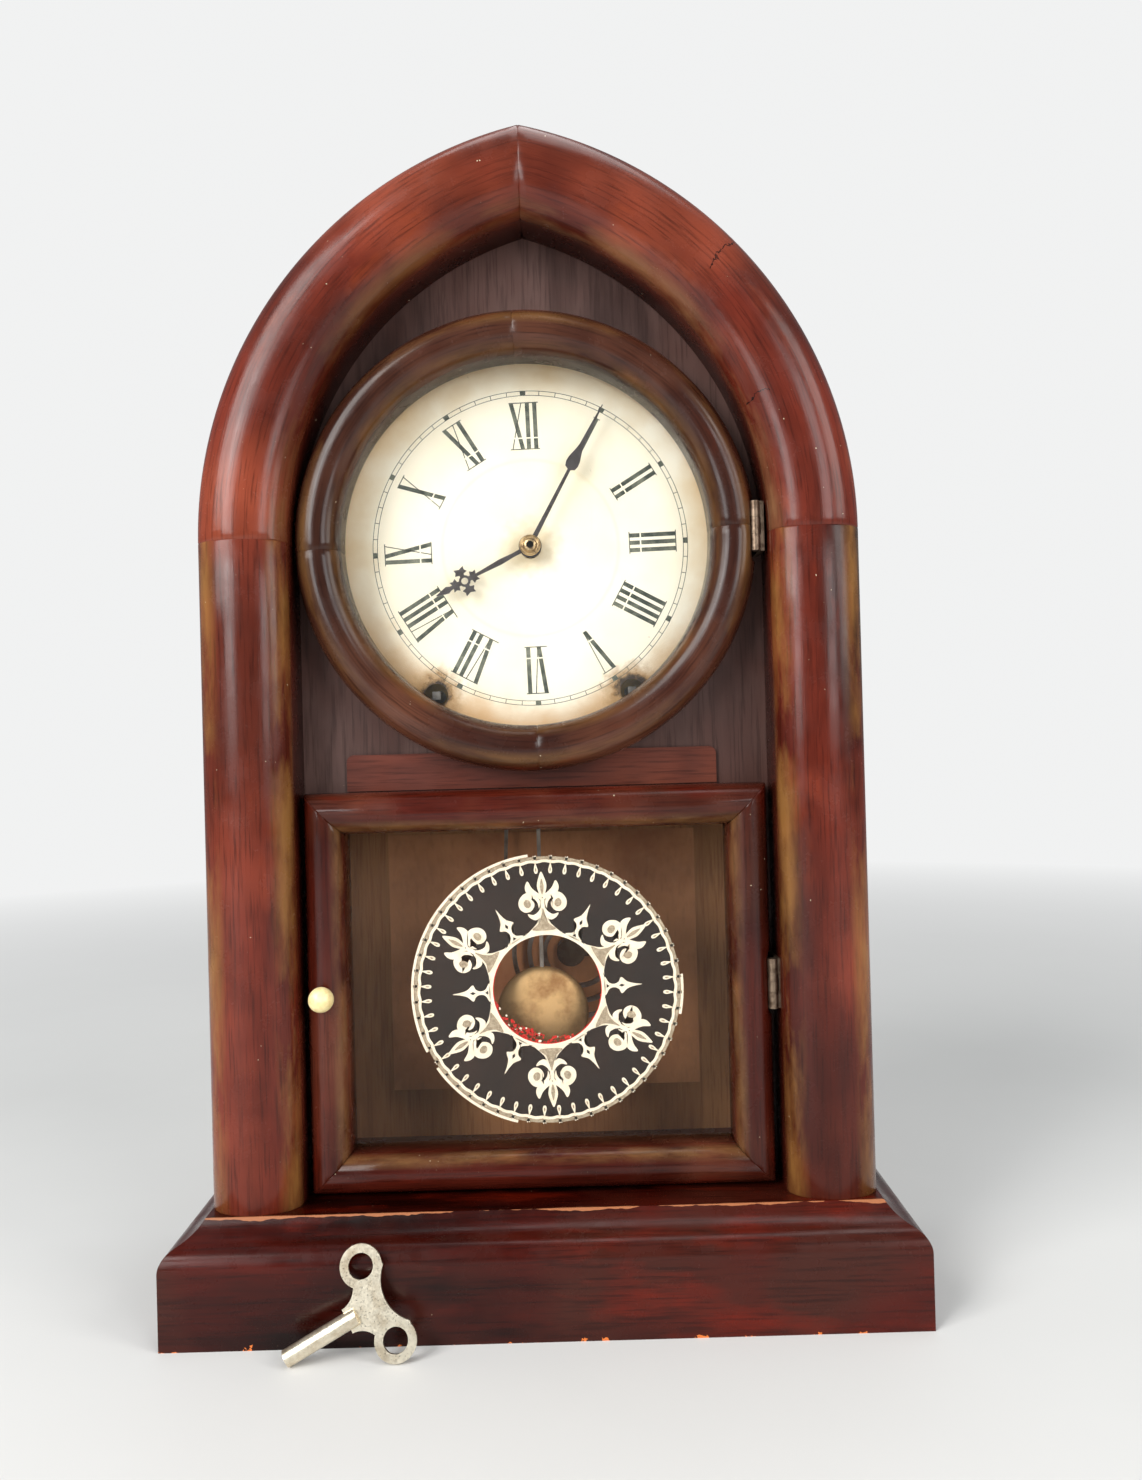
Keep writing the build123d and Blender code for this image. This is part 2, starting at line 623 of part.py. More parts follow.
wings = extrude(key_plane * body, amount=key_thickness / 2, both=True)
barrel_plane = Plane(origin=key_plane.origin + reach * (key_reach - barrel_length), z_dir=reach)
barrel = extrude(barrel_plane * Circle(barrel_r), amount=barrel_length)
socket = extrude(barrel_plane.offset(barrel_length - 14) * Rectangle(3.6, 3.6), amount=15)
save("winding_key", wings + barrel - socket)
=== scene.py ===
import random
from math import acos, cos, hypot, pi, radians, sin

import bmesh
import bpy
from mathutils import Matrix, Vector


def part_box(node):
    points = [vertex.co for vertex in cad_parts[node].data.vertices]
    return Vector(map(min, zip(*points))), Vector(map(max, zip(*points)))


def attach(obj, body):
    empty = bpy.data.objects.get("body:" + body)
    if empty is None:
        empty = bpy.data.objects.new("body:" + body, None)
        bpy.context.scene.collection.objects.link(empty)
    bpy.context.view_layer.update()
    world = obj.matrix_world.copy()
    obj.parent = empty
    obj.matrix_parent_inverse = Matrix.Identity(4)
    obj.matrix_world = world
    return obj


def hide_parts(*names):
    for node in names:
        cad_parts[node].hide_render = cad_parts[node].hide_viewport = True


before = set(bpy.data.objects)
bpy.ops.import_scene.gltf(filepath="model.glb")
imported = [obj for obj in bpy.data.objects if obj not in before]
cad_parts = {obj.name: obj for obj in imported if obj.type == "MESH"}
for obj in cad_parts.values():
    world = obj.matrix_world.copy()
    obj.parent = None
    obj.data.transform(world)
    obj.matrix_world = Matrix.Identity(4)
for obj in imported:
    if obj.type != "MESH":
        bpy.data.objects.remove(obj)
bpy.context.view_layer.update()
MM = 0.001

# Places and sizes of the part, in metres, read from its nodes.
rail_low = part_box("base_front_rail")[0]
column_low, column_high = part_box("column_right")
arch_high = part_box("arch_moulding_right")[1]
dial_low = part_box("dial_plate")[0]
glass_low, glass_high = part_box("bezel_glass")
tablet_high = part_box("tablet_glass")[1]
board_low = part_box("front_board")[0]
stile_low, stile_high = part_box("door_stile_left")
door_right_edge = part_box("door_rail_top")[1].x
door_top = stile_high.z
SPRINGING = column_high.z
BASE_TOP = column_low.z
CASE_HALF = column_high.x
MOULD_WIDTH = column_high.x - column_low.x
ARCH_RISE = arch_high.z - SPRINGING
ARCH_R = (ARCH_RISE ** 2 + CASE_HALF ** 2) / (2 * CASE_HALF)
ARCH_X = CASE_HALF - ARCH_R
MOULD_FOOT = -27.5 * MM
MOULD_RISE = 12 * MM
BOARD_FRONT = board_low.y
DOOR_FOOT = -19.5 * MM
MEMBER = stile_high.x - stile_low.x
BEZEL_CENTRE = (glass_low + glass_high) / 2
BEZEL_INNER = 75 * MM
BEZEL_OUTER = 93.7 * MM
BEZEL_BACK = -10.5 * MM
BEZEL_TURN = radians(2.0)
DOOR_BACK = stile_high.y
DIAL_FRONT = dial_low.y
DIAL_TURN = radians(1.45)
WIND_X = 41.3 * MM
WIND_DROP = 61.2 * MM
HAIR = 0.04 * MM
HINGE_ROOM = 2 * MM
ARCH_LENGTH = 210 * MM
BEZEL_QUARTER_LENGTH = 132 * MM

# Widths of the veneer that wraps each moulding, from back edge over the crown to back edge.
COLUMN_VENEER = 82 * MM
BEZEL_VENEER = 46 * MM
DOOR_VENEER = 45 * MM


# Materials
class Graph:
    """A material, with short calls that add nodes to it."""

    def __init__(self, name):
        self.material = bpy.data.materials.new(name)
        self.material.use_nodes = True
        self.tree = self.material.node_tree
        self.shader = self.tree.nodes["Principled BSDF"]

    def node(self, kind, inputs=None, **settings):
        n = self.tree.nodes.new("ShaderNode" + kind)
        for key, value in settings.items():
            setattr(n, key, value)
        for key, value in (inputs or {}).items():
            self.put(n, key, value)
        return n

    def put(self, n, key, value):
        if isinstance(value, bpy.types.NodeSocket):
            self.tree.links.new(value, n.inputs[key])
        else:
            n.inputs[key].default_value = value

    def math(self, operation, a, b=0.0):
        return self.node("Math", {0: a, 1: b}, operation=operation).outputs[0]

    def mix(self, factor, a, b):
        return self.node("MixRGB", {0: factor, 1: a, 2: b}).outputs[0]

    def noise(self, vector, scale, detail, roughness):
        inputs = {"Vector": vector, "Scale": scale, "Detail": detail, "Roughness": roughness}
        return self.node("TexNoise", inputs).outputs["Fac"]

    def span(self, value, low, high, out_low=0.0, out_high=1.0):
        inputs = {"Value": value, 1: low, 2: high, 3: out_low, 4: out_high}
        return self.node("MapRange", inputs).outputs[0]

    def stretch(self, vector, scale):
        return self.node("Mapping", {"Vector": vector, "Scale": scale}).outputs[0]

    def place(self):
        return self.node("TexCoord").outputs["Object"]

    def parts(self, vector):
        return self.node("SeparateXYZ", {0: vector}).outputs

    def set(self, **values):
        for key, value in values.items():
            self.put(self.shader, key.replace("_", " "), value)

    def bump(self, height, strength, distance):
        inputs = {"Height": height, "Strength": strength, "Distance": distance}
        self.put(self.shader, "Normal", self.node("Bump", inputs).outputs[0])


def rgb(r, g, b):
    """A colour given as seen on a screen, 0 to 255, in linear light."""
    return tuple((x / 255) ** 2.2 for x in (r, g, b)) + (1.0,)


def grain(g, along):
    """Coordinates whose X runs along the grain."""
    if along == "uv":
        return g.node("UVMap", uv_map="UVMap").outputs[0]
    turn = {"x": (0, 0, 0), "y": (0, 0, pi / 2), "z": (0, pi / 2, 0)}[along]
    return g.node("Mapping", {"Vector": g.place(), "Rotation": turn}).outputs[0]


FIGURE_SCALE = 26.0
PORE_BUMP = 0.15


def wood(name, dark, mid, light, along, roughness, red=None):
    """Wood with figure, clouds and pores. Its colour is left open, so that wear, painted highlights and
    painted shade can go over it.
    """
    g = Graph(name)
    v = grain(g, along)
    figure = g.noise(g.stretch(v, (0.16, 1, 1)), FIGURE_SCALE, 5, 0.6)
    pores = g.noise(g.stretch(v, (0.045, 1, 1)), 900, 3, 0.6)
    cloud = g.noise(g.place(), 13, 3, 0.55)
    colour = g.mix(g.span(figure, 0.36, 0.58), dark, mid)
    colour = g.mix(g.span(cloud, 0.47, 0.66), colour, light)
    if red:
        spots = g.noise(g.stretch(v, (0.3, 1, 1)), 48, 4, 0.6)
        colour = g.mix(g.span(spots, 0.56, 0.72, 0.0, 0.65), colour, red)
    colour = g.mix(g.span(pores, 0.5, 0.66, 0.0, 0.5), colour, dark)
    g.colour = colour
    scuff = g.noise(g.place(), 60, 6, 0.65)
    g.set(Roughness=g.span(scuff, 0.35, 0.7, roughness - 0.06, roughness + 0.16))
    g.set(IOR=1.45, Specular_IOR_Level=0.24, Coat_Weight=0.1, Coat_Roughness=0.14)
    g.bump(pores, PORE_BUMP, 0.0003)
    return g


def speckle(g, colour, speck, scale, low, amount=0.8):
    dots = g.noise(g.place(), scale, 2, 0.5)
    return g.mix(g.span(dots, low, low + 0.03, 0.0, amount), colour, speck)


def highlight_streak(g, colour, gold, share, worn, at):
    """Painted highlight: a lighter golden streak along the moulding at one place across the veneer, broken
    into patches by noise.
    """
    near = g.math("ABSOLUTE", g.math("SUBTRACT", share, at))
    band = g.math("MULTIPLY", g.span(near, 0.02, 0.09, 1.0, 0.0), g.span(worn, 0.4, 0.62))
    return g.mix(g.math("MULTIPLY", band, 0.6), colour, gold)


def crack(g, colour, run, share, low, high):
    """A dark line across the veneer; run is the distance along the moulding from the crack."""
    line = g.math("LESS_THAN", g.math("ABSOLUTE", run), 0.00028)
    inside = g.math("MULTIPLY", g.math("GREATER_THAN", share, low), g.math("LESS_THAN", share, high))
    dark = g.math("MULTIPLY", g.math("MULTIPLY", line, inside), 0.9)
    return g.mix(dark, colour, rgb(28, 12, 10))


def moulding_wood(name, dark, mid, light, red, gold, highlight_at, veneer, cracks=()):
    """Veneer on a half-round moulding, with painted highlight streaks and painted shade on its flanks: U
    of the UV map runs along it, and V across, from 0 to veneer.
    """
    g = wood(name, dark, mid, light, "uv", 0.2, red)
    at = grain(g, "uv")
    along, across = g.parts(at)[:2]
    share = g.math("DIVIDE", across, veneer)
    stain = g.noise(g.stretch(g.place(), (1.0, 1.0, 0.6)), 9, 3, 0.55)
    colour = g.mix(g.span(stain, 0.5, 0.63, 0.0, 0.62), g.colour, dark)
    # Noise that breaks the painted highlight streaks into patches.
    worn = g.noise(g.stretch(at, (0.25, 1, 1)), 60, 5, 0.65)
    # Painted highlights: lighter golden streaks along the moulding at the places given across the veneer.
    for highlight_share in highlight_at:
        colour = highlight_streak(g, colour, gold, share, worn, highlight_share)
    # Painted shade: the veneer darkens towards both flanks of the moulding, where it meets the board.
    middle = g.math("ABSOLUTE", g.math("SUBTRACT", share, 0.5))
    colour = g.mix(g.span(middle, 0.27, 0.42, 0.0, 0.9), colour, dark)
    colour = speckle(g, colour, rgb(205, 190, 160), 520, 0.77)
    wander = g.span(g.noise(g.place(), 110, 4, 0.7), 0.3, 0.7, -0.0022, 0.0022)
    for crack_at, low, high in cracks:
        run = g.math("SUBTRACT", g.math("ADD", along, wander), crack_at)
        colour = crack(g, colour, run, share, low, high)
    g.set(Base_Color=colour)
    return g.material


def plain_wood(name, dark, mid, light, along, roughness, red=None, edge=None, worn_line=None):
    g = wood(name, dark, mid, light, along, roughness, red)
    colour = speckle(g, g.colour, rgb(190, 170, 140), 480, 0.785, 0.6)
    if worn_line:
        y, colour_worn = worn_line
        near = g.math("ABSOLUTE", g.math("SUBTRACT", g.parts(g.place())[1], y))
        width = g.span(g.noise(g.stretch(g.place(), (0.35, 1, 1)), 70, 4, 0.7), 0.4, 0.68, 0.0, 0.0011)
        colour = g.mix(g.math("MULTIPLY", g.math("LESS_THAN", near, width), 0.85), colour, colour_worn)
    if edge:
        low, chip = edge
        ragged = g.noise(g.place(), 95, 4, 0.7)
        high = g.parts(g.place())[2]
        limit = g.span(ragged, 0.52, 0.72, -0.001, low)
        colour = g.mix(g.math("LESS_THAN", high, limit), colour, chip)
    g.set(Base_Color=colour)
    return g.material


def metal(name, colour, stain, roughness, metallic=1.0, scale=70.0):
    g = Graph(name)
    spots = g.noise(g.place(), scale, 6, 0.65)
    fine = g.noise(g.place(), scale * 9, 3, 0.6)
    tone = g.mix(g.span(spots, 0.45, 0.68), colour, stain)
    g.set(Base_Color=tone, Metallic=metallic)
    g.set(Roughness=g.span(fine, 0.3, 0.7, roughness - 0.07, roughness + 0.12))
    g.bump(fine, 0.08, 0.0002)
    return g.material


def glass(name, tint, dirt, amount, ior):
    """Thin old glass: mostly see-through, with a sheen, dust and fine scratches."""
    g = Graph(name)
    tree = g.tree
    clear = g.node("BsdfTransparent", {"Color": tint})
    shine = g.node("BsdfGlossy", {"Color": (1, 1, 1, 1), "Roughness": 0.04})
    inner_side = g.node("NewGeometry").outputs["Backfacing"]
    sheen = g.math("SUBTRACT", ior, g.math("MULTIPLY", inner_side, ior - 1))
    facing = g.node("Fresnel", {"IOR": sheen}).outputs[0]
    pane = g.node("MixShader", {0: facing, 1: clear.outputs[0], 2: shine.outputs[0]})
    dust = g.node("BsdfDiffuse", {"Color": dirt})
    cloud = g.noise(g.place(), 22, 6, 0.65)
    lines = g.noise(g.stretch(g.place(), (1.0, 1.0, 0.05)), 260, 2, 0.5)
    film = g.span(cloud, 0.45, 0.75, amount * 0.3, amount)
    scratches = g.span(lines, 0.72, 0.78, 0.0, amount * 2)
    cover = g.math("ADD", film, scratches)
    both = g.node("MixShader", {0: cover, 1: pane.outputs[0], 2: dust.outputs[0]})
    tree.links.new(both.outputs[0], tree.nodes["Material Output"].inputs[0])
    return g.material


def painted(name, colour, worn, amount, scale, roughness=0.5):
    """Old paint or ink that has thinned in places."""
    g = Graph(name)
    patch = g.noise(g.place(), scale, 5, 0.7)
    g.set(Base_Color=g.mix(g.span(patch, 0.42, 0.72, 0.0, amount), colour, worn))
    g.set(Roughness=roughness)
    return g.material


def distance(g, x, z):
    return g.math("SQRT", g.math("ADD", g.math("POWER", x, 2.0), g.math("POWER", z, 2.0)))


def winding_hole(g, colour, x, up, fine, side):
    """Dark loss of paint round a winding hole, with a brown rim."""
    near = distance(g, g.math("SUBTRACT", x, side * WIND_X), g.math("ADD", up, WIND_DROP))
    near = g.math("ADD", near, g.span(fine, 0.3, 0.7, -0.003, 0.003))
    colour = g.mix(g.span(near, 0.007, 0.0135, 0.9, 0.0), colour, rgb(168, 128, 78))
    return g.mix(g.span(near, 0.005, 0.0078, 1.0, 0.0), colour, rgb(52, 38, 28))


def dial_paint():
    """Cream paint, browned at the rim and at the foot, rubbed round the hub and the holes."""
    g = Graph("dial_paint")
    at = g.place()
    x, _, z = g.parts(at)[:3]
    up = g.math("SUBTRACT", z, SPRINGING)
    r = distance(g, x, up)
    cloud = g.noise(at, 26, 5, 0.6)
    fine = g.noise(at, 160, 5, 0.7)
    colour = g.mix(g.span(cloud, 0.35, 0.7), rgb(250, 242, 222), rgb(240, 229, 201))
    rim = g.math("ADD", r, g.span(cloud, 0.3, 0.7, -0.006, 0.006))
    colour = g.mix(g.span(rim, 0.066, 0.079, 0.0, 0.75), colour, rgb(214, 176, 122))
    low = g.math("MULTIPLY", g.span(rim, 0.062, 0.076), g.span(up, -0.02, -0.06))
    colour = g.mix(g.math("MULTIPLY", low, 0.6), colour, rgb(196, 142, 84))
    hub = g.span(g.math("ADD", r, g.span(fine, 0.3, 0.7, -0.003, 0.003)), 0.006, 0.014, 0.55, 0.0)
    colour = g.mix(hub, colour, rgb(196, 170, 120))
    ring = g.math("ABSOLUTE", g.math("SUBTRACT", r, 0.0372))
    colour = g.mix(g.span(ring, 0.0002, 0.0012, 0.22, 0.0), colour, rgb(226, 206, 160))
    for side in (-1, 1):
        colour = winding_hole(g, colour, x, up, fine, side)
    colour = speckle(g, colour, rgb(90, 66, 44), 240, 0.79, 0.8)
    g.set(Base_Color=colour, Roughness=0.42)
    g.bump(fine, 0.06, 0.0002)
    return g.material


def paper():
    g = Graph("aged_paper")
    at = g.place()
    cloud = g.noise(at, 18, 6, 0.65)
    fibre = g.noise(g.stretch(at, (1, 1, 0.3)), 420, 3, 0.6)
    colour = g.mix(g.span(cloud, 0.35, 0.68), rgb(206, 146, 100), rgb(160, 104, 70))
    colour = g.mix(g.span(fibre, 0.5, 0.75, 0, 0.3), colour, rgb(120, 80, 58))
    g.set(Base_Color=colour, Roughness=0.85)
    g.bump(fibre, 0.1, 0.0002)
    return g.material


LOOK = {}
# Each moulding: dark, mid, light and red wood tones, the colour of its painted highlight streaks, their
# places across the veneer, and the veneer width.
LOOK["column"] = moulding_wood(
    "case_veneer", rgb(36, 15, 11), rgb(98, 40, 29), rgb(118, 54, 40), rgb(134, 56, 34),
    rgb(150, 106, 58), (0.3, 0.7), COLUMN_VENEER)
LOOK["arch_left"] = moulding_wood(
    "arch_veneer_left", rgb(42, 18, 13), rgb(108, 45, 33), rgb(130, 62, 44), rgb(154, 70, 40),
    rgb(112, 76, 46), (0.29,), COLUMN_VENEER)
# Each crack: its place along the arch in metres, and where it starts and ends across the veneer.
CRACKS = ((0.062, 0.28, 0.42), (0.118, 0.5, 0.72))
LOOK["arch_right"] = moulding_wood(
    "arch_veneer_right", rgb(42, 18, 13), rgb(104, 44, 33), rgb(126, 60, 43), rgb(150, 70, 42),
    rgb(136, 98, 68), (0.27,), COLUMN_VENEER, CRACKS)
LOOK["bezel"] = moulding_wood(
    "bezel_veneer", rgb(28, 14, 12), rgb(70, 40, 31), rgb(92, 58, 44), rgb(108, 48, 30),
    rgb(112, 80, 48), (0.32, 0.62), BEZEL_VENEER)
LOOK["door"] = moulding_wood(
    "door_veneer", rgb(32, 12, 9), rgb(82, 32, 23), rgb(92, 50, 37), rgb(112, 34, 22),
    rgb(130, 96, 60), (0.35,), DOOR_VENEER)
LOOK["board"] = plain_wood("dark_board", rgb(48, 32, 29), rgb(92, 70, 65), rgb(80, 54, 48), "z", 0.5)
LOOK["strip"] = plain_wood("strip_wood", rgb(42, 20, 16), rgb(98, 52, 42), rgb(106, 56, 42), "x", 0.36)
BASE_TONES = (rgb(26, 9, 6), rgb(74, 22, 13), rgb(62, 30, 23))
BASE_RED = rgb(104, 28, 12)
chips = (3.2 * MM, rgb(206, 112, 56))
top_edge = (rail_low.y + 14.3 * MM, rgb(168, 108, 74))
LOOK["base_x"] = plain_wood("base_wood_x", *BASE_TONES, "x", 0.24, BASE_RED, chips, top_edge)
LOOK["base_y"] = plain_wood("base_wood_y", *BASE_TONES, "y", 0.24, BASE_RED, chips)
LOOK["side"] = plain_wood(
    "side_wood", rgb(36, 14, 10), rgb(84, 34, 24), rgb(80, 38, 28), "z", 0.34, rgb(100, 38, 24))
LOOK["raw"] = plain_wood("raw_pine", rgb(112, 72, 46), rgb(176, 126, 84), rgb(158, 110, 74), "z", 0.7)
LOOK["brass"] = metal("dull_brass", rgb(206, 166, 96), rgb(132, 94, 48), 0.42)
LOOK["bob"] = metal("old_brass", rgb(232, 194, 140), rgb(176, 132, 88), 0.46, 0.75)
LOOK["nut"] = metal("worn_brass", rgb(214, 186, 140), rgb(112, 88, 66), 0.34, 1.0, 420)
LOOK["steel"] = metal("plain_steel", rgb(148, 144, 140), rgb(92, 78, 66), 0.4)
LOOK["hands"] = metal("blued_steel", rgb(74, 70, 72), rgb(52, 46, 44), 0.4, 0.6, 200)
LOOK["hinge"] = metal("hinge_metal", rgb(132, 114, 98), rgb(70, 54, 42), 0.42, 0.9, 300)
LOOK["iron"] = metal("dull_iron", rgb(96, 86, 76), rgb(64, 46, 34), 0.6)
LOOK["nickel"] = metal("worn_nickel", rgb(232, 222, 200), rgb(192, 176, 150), 0.32, 1.0, 160)
LOOK["bone"] = painted("old_bone", rgb(244, 228, 172), rgb(206, 172, 98), 0.7, 260, 0.35)
LOOK["glass"] = glass("dial_glass", (0.99, 0.99, 0.985, 1), rgb(250, 246, 236), 0.02, 1.4)
LOOK["pane"] = glass("tablet_pane", (0.97, 0.955, 0.935, 1), rgb(150, 104, 74), 0.024, 1.26)
LOOK["dial"] = dial_paint()
LOOK["paper"] = paper()
LOOK["ink"] = painted("dial_ink", rgb(44, 54, 46), rgb(140, 142, 124), 0.7, 150)
LOOK["white"] = painted("ornament_white", rgb(255, 248, 230), rgb(224, 208, 180), 0.6, 220)
LOOK["shade"] = painted("ornament_shade", rgb(150, 138, 118), rgb(214, 202, 180), 0.8, 900)
LOOK["black"] = painted("ornament_black", rgb(16, 10, 10), rgb(40, 24, 20), 0.7, 60)
LOOK["red"] = painted("red_flakes", rgb(214, 34, 28), rgb(150, 24, 20), 0.8, 700)

NODES_BY_LOOK = {
    "base_x": ("base_front_rail", "base_back_rail", "case_floor"),
    "base_y": ("base_side_left", "base_side_right"),
    "board": ("front_board", "tablet_beads"),
    "strip": ("sill_strip",),
    "side": ("case_side_left", "case_side_right"),
    "raw": ("backboard",),
    "dial": ("dial_plate",),
    "paper": ("paper_label",),
    "hinge": ("case_hinges", "upper_hinge_door", "lower_hinge_door"),
    "glass": ("bezel_glass",),
    "pane": ("tablet_glass",),
    "hands": ("minute_hand", "hour_hand"),
    "nickel": ("winding_key",),
    "iron": ("gong_base",),
    "steel": ("gong_coil", "pendulum_rod", "strike_hammer", "verge", "centre_arbor", "time_mainspring",
              "strike_mainspring", "time_winding_arbor", "strike_winding_arbor"),
}
look_of = {node: look for look, nodes in NODES_BY_LOOK.items() for node in nodes}
for name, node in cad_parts.items():
    node.data.materials.clear()
    node.data.materials.append(LOOK[look_of.get(name, "brass")])
    node.data.shade_smooth()


# Shapes that follow a path
SOFT = 0.6 * MM
SEAM = 0.22 * MM
SEAM_REACH = 0.5 * MM
MOULDING_SHARP = radians(35)


def finish_piece(mesh, name, body, material, nodes=()):
    piece = bpy.data.objects.new(name, mesh)
    bpy.context.scene.collection.objects.link(piece)
    piece.data.materials.append(material)
    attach(piece, body)
    if nodes:
        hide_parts(*nodes)
    return piece


def mesh_from(bm, name, sharp):
    mesh = bpy.data.meshes.new(name)
    bm.to_mesh(mesh)
    bm.free()
    mesh.shade_smooth()
    mesh.set_sharp_from_angle(angle=sharp)
    return mesh


def loft(name, rows, u, v, body, material, nodes):
    """A closed section carried along a path: rows[i][j] is point j of section i."""
    bm = bmesh.new()
    uv = bm.loops.layers.uv.new("UVMap")
    grid = [[bm.verts.new(p) for p in row] for row in rows]
    n = len(rows[0])
    for i in range(len(rows) - 1):
        for j in range(n):
            k = (j + 1) % n
            face = bm.faces.new((grid[i][j], grid[i][k], grid[i + 1][k], grid[i + 1][j]))
            corners = ((i, j), (i, j + 1), (i + 1, j + 1), (i + 1, j))
            for loop, (a, b) in zip(face.loops, corners):
                loop[uv].uv = (u[a], v[b])
    for row in (grid[0], grid[-1]):
        bm.faces.new(row)
    bmesh.ops.recalc_face_normals(bm, faces=bm.faces)
    return finish_piece(mesh_from(bm, name, MOULDING_SHARP), name, body, material, nodes)


def section(width, foot, back, rise, steps):
    """Half-round section as (across, y) points, from the inner back edge over the crown."""
    half = width / 2
    points = [(-half, back - SOFT), (-half, (foot + back) / 2)]
    for k in range(steps + 1):
        a = pi * k / steps
        points.append((-half * cos(a), foot - rise * sin(a)))
    points += [(half, (foot + back) / 2), (half, back - SOFT), (half - SOFT, back), (SOFT - half, back)]
    return points


def lengths(points):
    total = [0.0]
    for a, b in zip(points, points[1:] + points[:1]):
        total.append(total[-1] + hypot(b[0] - a[0], b[1] - a[1]))
    return total


def steps_of(count, groove):
    """Shares along a piece, with one extra section close to each end for the soft edge of the joint."""
    inner = [groove + (1 - 2 * groove) * k / count for k in range(count + 1)]
    return [0.0] + inner + [1.0]


def moulding(name, profile, place, length, count, body, material, nodes):
    """place(share, across) gives the X and Z of a point; the end sections shrink to leave a fine seam."""
    shares = steps_of(count, SEAM_REACH / length)
    middle_y = sum(p[1] for p in profile) / len(profile)
    rows = []
    for i, t in enumerate(shares):
        end = i in (0, len(shares) - 1)
        row = []
        for a, y in profile:
            if end:
                a = a - SEAM * (1 if a > 0 else -1)
                y = y + SEAM * (1 if y < middle_y else -1)
            x, z = place(t, a)
            row.append((x, y, z))
        rows.append(row)
    return loft(name, rows, [t * length for t in shares], lengths(profile), body, material, nodes)


def mirrored(place):
    return lambda t, a: (-place(t, a)[0], place(t, a)[1])


# Columns, arch and doors
mould = section(MOULD_WIDTH, MOULD_FOOT, BOARD_FRONT, MOULD_RISE, 26)
CENTRE = CASE_HALF - MOULD_WIDTH / 2


def column_place(t, a):
    return CENTRE + a, BASE_TOP + t * (SPRINGING - BASE_TOP)


def arch_place(t, a):
    r = ARCH_R - MOULD_WIDTH / 2 + a
    angle = t * acos(-ARCH_X / r)
    return ARCH_X + r * cos(angle), SPRINGING + r * sin(angle)


for side, mirror in (("right", lambda f: f), ("left", mirrored)):
    moulding("shown_column_" + side, mould, mirror(column_place), SPRINGING - BASE_TOP, 8, "case",
             LOOK["column"], ["column_" + side])
    moulding("shown_arch_" + side, mould, mirror(arch_place), ARCH_LENGTH, 60, "case",
             LOOK["arch_" + side], ["arch_moulding_" + side])

bezel_width = BEZEL_OUTER - BEZEL_INNER
bezel_section = section(bezel_width, DOOR_FOOT, BEZEL_BACK, bezel_width / 2, 22)
hinge_low, hinge_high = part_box("upper_hinge_door")
flat_x = hinge_low.x


def bezel_place(quarter):
    def place(t, a):
        r = (BEZEL_OUTER + BEZEL_INNER) / 2 + a
        angle = BEZEL_TURN + (quarter + t) * pi / 2
        x = BEZEL_CENTRE.x + r * cos(angle)
        z = BEZEL_CENTRE.z + r * sin(angle)
        if hinge_low.z - HINGE_ROOM < z < hinge_high.z + HINGE_ROOM:
            x = min(x, flat_x)
        return x, z
    return place


for k, where in enumerate(("upper_right", "upper_left", "lower_left", "lower_right")):
    moulding("shown_bezel_" + where, bezel_section, bezel_place(k), BEZEL_QUARTER_LENGTH, 40,
             "round_door", LOOK["bezel"], ["bezel_" + where])

member = section(MEMBER, DOOR_FOOT, DOOR_BACK, MEMBER / 2, 20)
door_mid_x = (stile_low.x + door_right_edge) / 2
door_mid_z = (stile_low.z + door_top) / 2
door_half_w = (door_right_edge - stile_low.x) / 2
door_half_h = (door_top - stile_low.z) / 2
low_hinge_low, low_hinge_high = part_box("lower_hinge_door")


def stile_place(side):
    def place(t, a):
        reach = door_half_h - MEMBER / 2 + a
        x = door_half_w - MEMBER / 2 + a
        z = door_mid_z + (2 * t - 1) * reach
        if side > 0 and low_hinge_low.z - HINGE_ROOM < z < low_hinge_high.z + HINGE_ROOM:
            x = min(x, low_hinge_low.x - door_mid_x)
        return door_mid_x + side * x, z
    return place


def rail_place(side):
    def place(t, a):
        reach = door_half_w - MEMBER / 2 + a
        return door_mid_x + (2 * t - 1) * reach, door_mid_z + side * (door_half_h - MEMBER / 2 + a)
    return place


for side, word in ((-1, "left"), (1, "right")):
    moulding("shown_stile_" + word, member, stile_place(side), 2 * door_half_h, 60, "lower_door",
             LOOK["door"], ["door_stile_" + word])
for side, word in ((-1, "bottom"), (1, "top")):
    moulding("shown_rail_" + word, member, rail_place(side), 2 * door_half_w, 8, "lower_door",
             LOOK["door"], ["door_rail_" + word])


# Turned pieces
TURN_STEPS = 64
TURNED_SHARP = radians(50)
# Pendulum bob: places and depths along Y in mm, and the angle between the points of its dome.
BOB_FRONT = 0.8
BOB_MIDDLE = 5
BOB_DOME = 4.2
BOB_FULLNESS = 0.8
BOB_RIM_HALF = 0.6
BOB_ANGLE = 0.13
BOB_STEPS = 11


def turned(name, centre, profile, body, material, nodes):
    """A lathe profile of (radius, y) points turned about the line through centre along Y."""
    rows = []
    for i in range(TURN_STEPS):
        a = 2 * pi * i / TURN_STEPS
        rows.append([(centre[0] + r * cos(a), y, centre[1] + r * sin(a)) for r, y in profile])
    bm = bmesh.new()
    grid = [[bm.verts.new(p) for p in row] for row in rows]
    for i in range(TURN_STEPS):
        k = (i + 1) % TURN_STEPS
        for j in range(len(profile) - 1):
            bm.faces.new((grid[i][j], grid[k][j], grid[k][j + 1], grid[i][j + 1]))
    bmesh.ops.remove_doubles(bm, verts=bm.verts, dist=1e-6)
    bmesh.ops.dissolve_degenerate(bm, edges=bm.edges, dist=1e-7)
    bmesh.ops.recalc_face_normals(bm, faces=bm.faces)
    return finish_piece(mesh_from(bm, name, TURNED_SHARP), name, body, material, nodes)


